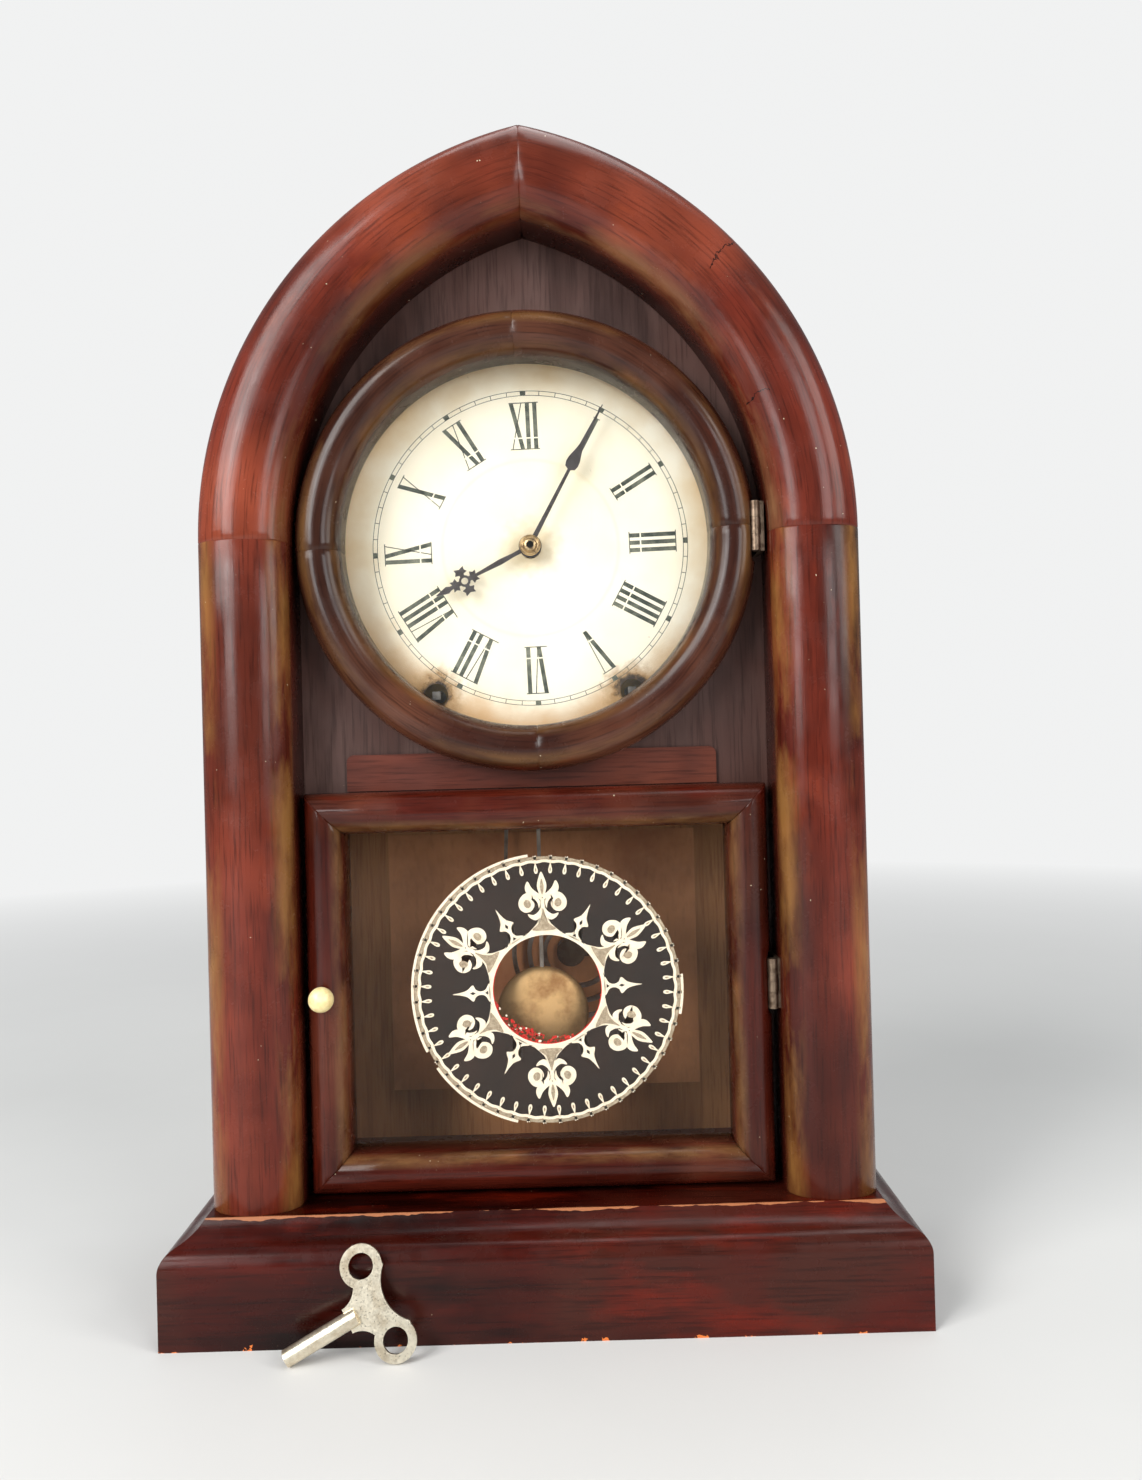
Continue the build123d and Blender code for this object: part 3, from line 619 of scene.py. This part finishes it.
def mm(points):
    return [(a * MM, b * MM) for a, b in points]


def bob_half(radius):
    """The front of the bob in mm: a shallow dome that ends short of the rim."""
    arc = [k * BOB_ANGLE for k in range(1, BOB_STEPS + 1)]
    dome = [(radius * sin(a), BOB_MIDDLE - BOB_DOME * cos(a) ** BOB_FULLNESS) for a in arc]
    return [(0, BOB_FRONT)] + dome


knob_low, knob_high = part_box("door_knob")
knob_at = ((knob_low.x + knob_high.x) / 2, (knob_low.z + knob_high.z) / 2)
KNOB_PROFILE = [
    (0, -27.8), (3.2, -27.8), (3.4, -28.4), (4.5, -29.2), (5.0, -30.4), (5.0, -31.6), (4.7, -33.0),
    (4.0, -34.2), (3.0, -35.0), (1.8, -35.5), (0, -35.8),
]
turned("shown_knob", knob_at, mm(KNOB_PROFILE), "knob", LOOK["bone"], ["door_knob"])
NUT_PROFILE = [
    (1.5, -9.2), (4.4, -9.2), (4.4, -9.6), (4.1, -10.2), (3.6, -10.5), (3.3, -10.2), (3.0, -10.2),
    (2.6, -11.0), (2.0, -11.35), (1.5, -11.4), (1.45, -11.2), (0, -11.2),
]
turned("shown_nut", (0, SPRINGING), mm(NUT_PROFILE), "minute", LOOK["nut"], ["hand_nut"])
bob_low, bob_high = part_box("pendulum_bob")
bob_at = (0, (bob_low.z + bob_high.z) / 2)
bob_r = (bob_high.x - bob_low.x) / 2 / MM
dome = bob_half(bob_r)
rim = [(bob_r, BOB_MIDDLE - BOB_RIM_HALF), (bob_r, BOB_MIDDLE + BOB_RIM_HALF)]
bob_profile = dome + rim + [(r, 2 * BOB_MIDDLE - y) for r, y in reversed(dome)]
turned("shown_bob", bob_at, mm(bob_profile), "pendulum", LOOK["bob"], ["pendulum_bob"])


# Flat printed shapes
CURVE_STEPS = 6
NEARLY_ROUND = 6.28


def prism(bm, loop, y0, y1):
    """A thin solid with the outline loop of (x, z) points."""
    front = [bm.verts.new((x, y0, z)) for x, z in loop]
    back = [bm.verts.new((x, y1, z)) for x, z in loop]
    n = len(loop)
    for i in range(n):
        k = (i + 1) % n
        bm.faces.new((front[i], front[k], back[k], back[i]))
    bm.faces.new(front)
    bm.faces.new(back[::-1])


def ring(bm, centre, r0, r1, y0, y1, a0=0.0, a1=2 * pi, steps=120, wave=0.0, waves=0):
    """An annulus, or a stretch of one."""
    whole = a1 - a0 > NEARLY_ROUND
    rows = []
    for i in range(steps + (0 if whole else 1)):
        a = a0 + (a1 - a0) * i / steps
        w = wave * cos(waves * a)
        points = []
        for r, y in ((r0 + w, y0), (r1 + w, y0), (r1 + w, y1), (r0 + w, y1)):
            points.append(bm.verts.new((centre[0] + r * cos(a), y, centre[1] + r * sin(a))))
        rows.append(points)
    pairs = list(zip(rows, rows[1:] + (rows[:1] if whole else [])))
    for p, q in pairs:
        for j in range(4):
            k = (j + 1) % 4
            bm.faces.new((p[j], p[k], q[k], q[j]))
    if not whole:
        bm.faces.new(rows[0])
        bm.faces.new(rows[-1][::-1])


def smooth_loop(points):
    """A closed curve through the points."""
    n = len(points)
    out = []
    for i in range(n):
        p0, p1, p2, p3 = (Vector(points[(i + d) % n]) for d in (-1, 0, 1, 2))
        for s in range(CURVE_STEPS):
            t = s / CURVE_STEPS
            q = 0.5 * ((2 * p1) + (p2 - p0) * t + (2 * p0 - 5 * p1 + 4 * p2 - p3) * t * t
                       + (3 * p1 - p0 - 3 * p2 + p3) * t ** 3)
            out.append((q.x, q.y))
    return out


def printed(name, bm, body, material):
    bmesh.ops.triangulate(bm, faces=[f for f in bm.faces if len(f.verts) > 4])
    bmesh.ops.recalc_face_normals(bm, faces=bm.faces)
    mesh = bpy.data.meshes.new(name)
    bm.to_mesh(mesh)
    bm.free()
    piece = finish_piece(mesh, name, body, material)
    return piece


# Dial: minute track and Roman numerals, whose feet point to the centre.
TRACK_IN = 64.4 * MM
TRACK_OUT = 66.5 * MM
TRACK_LINE = 0.25 * MM
TICK_HALF = 0.14 * MM
BLOCK_HALF = 1.1 * MM
BLOCK_LENGTH = 2.0 * MM
BLOCK_SPREAD = 1.1
NUMERAL_IN = 42.0 * MM
NUMERAL_OUT = 61.2 * MM
THICK = 1.75 * MM
THIN = 0.4 * MM
HUB = (0, SPRINGING)
PRINT_Y = DIAL_FRONT - HAIR
GAP_AT = 0.22
GAP = 0.03
NUMERALS = ("XII", "I", "II", "III", "IIII", "V", "VI", "VII", "VIII", "IX", "X", "XI")
ADVANCE = {"I": 3.1 * MM, "V": 6.4 * MM, "X": 6.2 * MM}
ARM_SHARE = 0.34
# Strokes of each letter: foot and head, in arms from its middle, and width.
STROKES = {
    "I": ((0, 0, THICK),),
    "V": ((0.1, -1, THICK), (0.3, 1, THIN)),
    "X": ((1, -1, THICK), (-1, 1, THIN)),
}


def dial_point(angle, across, r):
    """A point of a numeral that stands at angle, clockwise from twelve."""
    a = angle - DIAL_TURN
    return across * cos(a) + r * sin(a), SPRINGING - across * sin(a) + r * cos(a)


def stroke(bm, angle, foot, head, width):
    span = NUMERAL_OUT - NUMERAL_IN
    for low, high in ((0.0, GAP_AT), (GAP_AT + GAP, 1.0)):
        corners = []
        for share, side in ((low, -1), (low, 1), (high, 1), (high, -1)):
            across = foot + (head - foot) * share + side * width / 2
            corners.append(dial_point(angle, across, NUMERAL_IN + share * span))
        prism(bm, corners, PRINT_Y, DIAL_FRONT)


def serif(bm, angle, half, r):
    outline = ((-half, r), (half, r), (half, r + THIN), (-half, r + THIN))
    prism(bm, [dial_point(angle, across, out) for across, out in outline], PRINT_Y, DIAL_FRONT)


def minute_track(bm):
    """Two rings with a thin tick at each minute and a block at each fifth."""
    ring(bm, HUB, TRACK_IN, TRACK_IN + TRACK_LINE, PRINT_Y, DIAL_FRONT, steps=180)
    ring(bm, HUB, TRACK_OUT - TRACK_LINE, TRACK_OUT, PRINT_Y, DIAL_FRONT, steps=180)
    tick = (TICK_HALF, TRACK_IN + TRACK_LINE, TICK_HALF, TRACK_OUT, PRINT_Y)
    block = (BLOCK_HALF, TRACK_IN, BLOCK_HALF * BLOCK_SPREAD, TRACK_IN + BLOCK_LENGTH, PRINT_Y - HAIR / 2)
    for minute in range(60):
        inner, low, outer, high, front = tick if minute % 5 else block
        outline = ((-inner, low), (inner, low), (outer, high), (-outer, high))
        corners = [dial_point(minute * pi / 30, across, out) for across, out in outline]
        prism(bm, corners, front, DIAL_FRONT)


def numeral(bm, angle, word):
    """The strokes of each letter in turn, then the serifs; V has none at its foot."""
    total = sum(ADVANCE[letter] for letter in word)
    at = -total / 2
    for letter in word:
        middle = at + ADVANCE[letter] / 2
        arm = ADVANCE[letter] * ARM_SHARE
        for foot, head, width in STROKES[letter]:
            stroke(bm, angle, middle + foot * arm, middle + head * arm, width)
        at += ADVANCE[letter]
    if word != "V":
        serif(bm, angle, total / 2, NUMERAL_IN - THIN)
    serif(bm, angle, total / 2, NUMERAL_OUT)


dial_bm = bmesh.new()
minute_track(dial_bm)
for hour, word in enumerate(NUMERALS):
    numeral(dial_bm, hour * pi / 6, word)
printed("dial_print", dial_bm, "case", LOOK["ink"])

# Ornament on the back of the lower glass: a wreath of six lily heads in a beaded ring.
ORNAMENT = (2.5 * MM, 123.8 * MM)
ORNAMENT_TURN = radians(1.7)
WINDOW_R = 22.4 * MM
RING_R = 52.6 * MM
EDGE_R = 56.0 * MM
BEADS = 52
BEAD_OFFSET = 0.35
LILIES = 6
WINDOW_LINE = 1.5 * MM
GROUND_INSET = 0.4 * MM
RING_INNER = 0.5 * MM
RING_OUTER = 0.7 * MM
RING_WAVE = 0.22 * MM
EDGE_LINE = 1.1 * MM
SHADE_GAP = 0.8 * MM
EDGE_GAP = 1.3 * MM
STEP = 0.12 * MM
BACK_Y = tablet_high.y + 0.05 * MM
# Layers of paint, counted from the glass.
FIRST = 0
SECOND = 1
THIRD = 2
GROUND = 3


def layer_span(layer):
    """The Y values between which a layer of paint lies."""
    return BACK_Y + layer * STEP, BACK_Y + (layer + 1) * STEP


def on_glass(angle, across, out):
    a = angle + ORNAMENT_TURN
    x = out * cos(a) + across * sin(a)
    z = out * sin(a) - across * cos(a)
    return ORNAMENT[0] + x, ORNAMENT[1] + z


def motif(bm, angle, points, layer, smooth=True, flip=False):
    loop = [(-a if flip else a, r) for a, r in points]
    if smooth:
        loop = smooth_loop(loop)
    placed = [on_glass(angle, a * MM, r * MM) for a, r in loop]
    prism(bm, placed, *layer_span(layer))


LEAF = [
    (0, 48.4), (1.1, 46.2), (1.95, 43.0), (1.5, 40.2), (0.7, 38.2), (-0.7, 38.2), (-1.5, 40.2),
    (-1.95, 43.0), (-1.1, 46.2),
]
LEAF_SHADE = [
    (0, 45.6), (0.6, 43.5), (0.75, 42.0), (0.3, 39.4), (-0.3, 39.4), (-0.75, 42.0), (-0.6, 43.5),
]
WING = [
    (0.4, 38.6), (2.4, 40.2), (4.2, 42.0), (5.7, 44.6), (6.8, 43.0), (6.9, 41.2), (6.2, 39.8),
    (4.4, 39.2), (2.0, 38.0), (0.4, 36.6),
]
SCROLL = [
    (1.0, 36.2), (2.6, 38.8), (5.2, 40.0), (8.0, 39.2), (9.8, 36.6), (9.6, 33.8), (7.6, 32.0),
    (5.2, 32.2), (3.6, 34.0), (3.5, 35.8), (4.6, 37.4), (3.2, 37.2), (2.0, 35.4), (1.6, 33.4),
]
SCROLL_SHADE = [(5.4, 36.6), (6.8, 37.2), (7.8, 35.8), (7.2, 34.2), (5.8, 33.8), (4.9, 34.8)]
FOOT_LEAF = [
    (0.8, 33.6), (2.0, 32.0), (4.0, 30.8), (6.3, 31.2), (5.4, 29.6), (3.4, 28.6), (1.8, 29.2),
    (0.7, 31.0),
]
STEM = [
    (0.8, 37.0), (0.9, 33.0), (1.5, 30.0), (3.0, 27.0), (6.4, 23.6), (6.8, 22.9), (-6.8, 22.9),
    (-6.4, 23.6), (-3.0, 27.0), (-1.5, 30.0), (-0.9, 33.0), (-0.8, 37.0),
]
STEM_SHADE = [
    (0, 33.4), (0.7, 30.2), (2.1, 27.0), (4.6, 24.5), (-4.6, 24.5), (-2.1, 27.0), (-0.7, 30.2),
]
SPEAR = [
    (0, 39.0), (0.5, 36.0), (1.4, 33.0), (3.3, 30.6), (1.5, 29.4), (0.7, 27.4), (1.4, 25.4),
    (3.6, 23.7), (-3.6, 23.7), (-1.4, 25.4), (-0.7, 27.4), (-1.5, 29.4), (-3.3, 30.6), (-1.4, 33.0),
    (-0.5, 36.0),
]
SPEAR_EYE = [(0, 31.9), (0.6, 30.6), (0, 29.5), (-0.6, 30.6)]
SPEAR_GAP = [(0, 25.6), (0.8, 24.4), (-0.8, 24.4)]
TEAR = [
    (0, 52.4), (0.35, 51.2), (0.8, 49.2), (0.55, 48.0), (0, 47.7), (-0.55, 48.0), (-0.8, 49.2),
    (-0.35, 51.2),
]
TEAR_SHADE = [(0, 50.2), (0.3, 49.2), (0, 48.5), (-0.3, 49.2)]
BAR = [(-0.3, 53.2), (-0.75, 55.2), (-0.15, 54.7), (0.35, 55.3), (0.75, 54.6), (0.3, 53.2)]
# Stretches of the outer line that are left, from and to, in degrees.
LEFT_OF_LINE = ((97, 206), (214, 256), (-12, 5))


def rings(white, shade, black):
    """The dark ground, the line round the window, the beaded ring and what is left of the outer line."""
    ring(black, ORNAMENT, WINDOW_R + GROUND_INSET, RING_R, *layer_span(GROUND))
    ring(white, ORNAMENT, WINDOW_R, WINDOW_R + WINDOW_LINE, *layer_span(SECOND))
    ring(white, ORNAMENT, RING_R - RING_INNER, RING_R + RING_OUTER, *layer_span(SECOND), steps=520,
         wave=RING_WAVE, waves=BEADS)
    for start, end in LEFT_OF_LINE:
        ring(white, ORNAMENT, EDGE_R - EDGE_LINE, EDGE_R, *layer_span(SECOND), radians(start),
             radians(end), 60)
    ring(shade, ORNAMENT, RING_R + SHADE_GAP, EDGE_R - EDGE_GAP, *layer_span(SECOND))


def bead(white, shade, angle):
    motif(white, angle, TEAR, SECOND)
    motif(shade, angle, TEAR_SHADE, FIRST)
    motif(white, angle, BAR, SECOND, smooth=False)


def lily(white, shade, angle):
    for flip in (False, True):
        motif(white, angle, WING, SECOND, flip=flip)
        motif(white, angle, SCROLL, THIRD, flip=flip)
        motif(shade, angle, SCROLL_SHADE, FIRST, flip=flip)
        motif(white, angle, FOOT_LEAF, SECOND, flip=flip)
    motif(white, angle, STEM, THIRD)
    motif(shade, angle, STEM_SHADE, FIRST)
    motif(white, angle, LEAF, THIRD)
    motif(shade, angle, LEAF_SHADE, FIRST)


def spear(white, black, angle):
    motif(white, angle, SPEAR, SECOND)
    motif(black, angle, SPEAR_EYE, FIRST, smooth=False)
    motif(black, angle, SPEAR_GAP, FIRST, smooth=False)


# Flakes of red paint, whose middle and spread round the window are in degrees and depths in mm.
FLAKES = 150
FLAKE_MIDDLE = 248
FLAKE_SPREAD = 30
FLAKE_DEPTH = 4.6
FLAKE_LEAST_DEPTH = 0.3
FLAKE_CORNERS = 6
FLAKE_LAYERS = 5
WHITE_EVERY = 12
RED_LINE = 0.35 * MM


def flakes(red, white):
    """Old red paint round the window, thickest at its foot, with a few white chips."""
    chance = random.Random(11)
    ring(red, ORNAMENT, WINDOW_R - RED_LINE, WINDOW_R, *layer_span(SECOND), radians(150), radians(385), 70)
    for k in range(FLAKES):
        angle = radians(chance.gauss(FLAKE_MIDDLE, FLAKE_SPREAD))
        away = min(1.5, abs(angle - radians(FLAKE_MIDDLE)) * 1.5)
        depth = max(FLAKE_LEAST_DEPTH, FLAKE_DEPTH * cos(away))
        out = WINDOW_R - chance.random() * depth * MM
        size = chance.uniform(0.25, 0.95) * MM
        corners = []
        for j in range(FLAKE_CORNERS):
            a = angle + 2 * pi * j / FLAKE_CORNERS
            reach = size * chance.uniform(0.5, 1.0)
            corners.append((ORNAMENT[0] + out * cos(angle) + reach * cos(a),
                            ORNAMENT[1] + out * sin(angle) + reach * sin(a)))
        target = red if k % WHITE_EVERY else white
        prism(target, corners, *layer_span(THIRD + k % FLAKE_LAYERS))


red, white, shade, black = (bmesh.new() for _ in range(4))
rings(white, shade, black)
for k in range(BEADS):
    bead(white, shade, 2 * pi * (k + BEAD_OFFSET) / BEADS)
for k in range(LILIES):
    angle = pi / 2 + 2 * pi * k / LILIES
    lily(white, shade, angle)
    spear(white, black, angle + pi / LILIES)
flakes(red, white)
for colour, paint in (("red", red), ("white", white), ("shade", shade), ("black", black)):
    printed("ornament_" + colour, paint, "lower_door", LOOK[colour])


# Floor, light and camera
FLOOR_HALF = 40.0
BACKDROP = (0.88, 0.885, 0.885, 1)
FLOOR_TONES = ((0.72, 0.72, 0.71, 1), (0.69, 0.69, 0.68, 1))
SKY_TONE = (0.80, 0.86, 0.90, 1)
SKY_STRENGTH = 0.32
WHITE = (1, 1, 1)
PICTURE_HEIGHT = 1480
FOCAL_PIXELS = 1144
SENSOR_HEIGHT = 36.0
EYE = (0.01267, -0.48474, 0.2232)
YAW = radians(-0.27)
PITCH = radians(-0.341)
ROLL = radians(-1.508)


def floor_look():
    """A pale floor that fades with distance, as the camera sees it, into an even white backdrop."""
    g = Graph("floor_look")
    cloud = g.noise(g.place(), 3, 4, 0.6)
    g.set(Base_Color=g.mix(g.span(cloud, 0.4, 0.7), *FLOOR_TONES), Roughness=0.6)
    away = g.node("VectorMath", {0: g.place()}, operation="LENGTH").outputs["Value"]
    behind = g.span(away, 0.45, 1.7)
    camera_ray = g.node("LightPath").outputs["Is Camera Ray"]
    white = g.node("Emission", {"Color": BACKDROP})
    share = g.math("MULTIPLY", behind, camera_ray)
    both = g.node("MixShader", {0: share, 1: g.shader.outputs[0], 2: white.outputs[0]})
    g.tree.links.new(both.outputs[0], g.tree.nodes["Material Output"].inputs[0])
    return g.material


def add_floor():
    mesh = bpy.data.meshes.new("floor")
    corners = [(-FLOOR_HALF, -FLOOR_HALF, 0), (FLOOR_HALF, -FLOOR_HALF, 0), (FLOOR_HALF, FLOOR_HALF, 0),
               (-FLOOR_HALF, FLOOR_HALF, 0)]
    mesh.from_pydata(corners, [], [(0, 1, 2, 3)])
    floor = bpy.data.objects.new("floor", mesh)
    bpy.context.scene.collection.objects.link(floor)
    floor.data.materials.append(floor_look())


def add_world():
    """A soft bluish glow on the clock, while the camera sees the backdrop's own white."""
    world = bpy.data.worlds.new("room")
    bpy.context.scene.world = world
    world.use_nodes = True
    sky = world.node_tree
    seen = sky.nodes["Background"]
    seen.inputs[0].default_value = BACKDROP
    glow = sky.nodes.new("ShaderNodeBackground")
    glow.inputs[0].default_value = SKY_TONE
    glow.inputs[1].default_value = SKY_STRENGTH
    path = sky.nodes.new("ShaderNodeLightPath")
    choose = sky.nodes.new("ShaderNodeMixShader")
    sky.links.new(path.outputs["Is Camera Ray"], choose.inputs[0])
    sky.links.new(glow.outputs[0], choose.inputs[1])
    sky.links.new(seen.outputs[0], choose.inputs[2])
    sky.links.new(choose.outputs[0], sky.nodes["World Output"].inputs[0])


def lamp(name, place, aim, power, size, colour):
    data = bpy.data.lights.new(name, "AREA")
    data.energy = power
    data.shape = "RECTANGLE"
    data.size, data.size_y = size
    data.color = colour
    obj = bpy.data.objects.new(name, data)
    bpy.context.scene.collection.objects.link(obj)
    obj.location = place
    obj.rotation_euler = (Vector(aim) - Vector(place)).to_track_quat("-Z", "Y").to_euler()


def look_axes(yaw, pitch, roll):
    """Right, down and forward of the camera as rows, in the part's own axes."""
    start = Matrix(((1, 0, 0), (0, 0, -1), (0, 1, 0)))
    about_up = Matrix(((cos(yaw), 0, sin(yaw)), (0, 1, 0), (-sin(yaw), 0, cos(yaw))))
    about_side = Matrix(((1, 0, 0), (0, cos(pitch), -sin(pitch)), (0, sin(pitch), cos(pitch))))
    about_view = Matrix(((cos(roll), -sin(roll), 0), (sin(roll), cos(roll), 0), (0, 0, 1)))
    return about_view @ about_side @ about_up @ start


def add_camera():
    data = bpy.data.cameras.new("camera")
    data.sensor_fit = "VERTICAL"
    data.sensor_height = SENSOR_HEIGHT
    data.lens = FOCAL_PIXELS / PICTURE_HEIGHT * SENSOR_HEIGHT
    data.clip_start = 0.01
    camera = bpy.data.objects.new("camera", data)
    bpy.context.scene.collection.objects.link(camera)
    right, down, forward = look_axes(YAW, PITCH, ROLL)
    spin = Matrix((right, -down, -forward)).transposed().to_4x4()
    camera.matrix_world = Matrix.Translation(EYE) @ spin
    bpy.context.scene.camera = camera


add_floor()
add_world()
lamp("window", (-1.25, -1.2, 1.3), (0, 0, 0.25), 34, (0.9, 1.3), (1.0, 0.985, 0.96))
lamp("fill", (1.4, -0.9, 0.9), (0, 0, 0.22), 13, (0.6, 1.2), (1.0, 0.97, 0.93))
lamp("front_left", (-0.95, -1.5, 0.7), (0, 0, 0.28), 12, (0.5, 0.9), WHITE)
lamp("front_right", (0.95, -1.5, 0.7), (0, 0, 0.28), 9, (0.5, 0.9), WHITE)
lamp("top", (0.1, 0.1, 1.7), (0, 0, 0.3), 8, (1.0, 0.8), WHITE)
add_camera()
bpy.context.scene.view_settings.view_transform = "Standard"
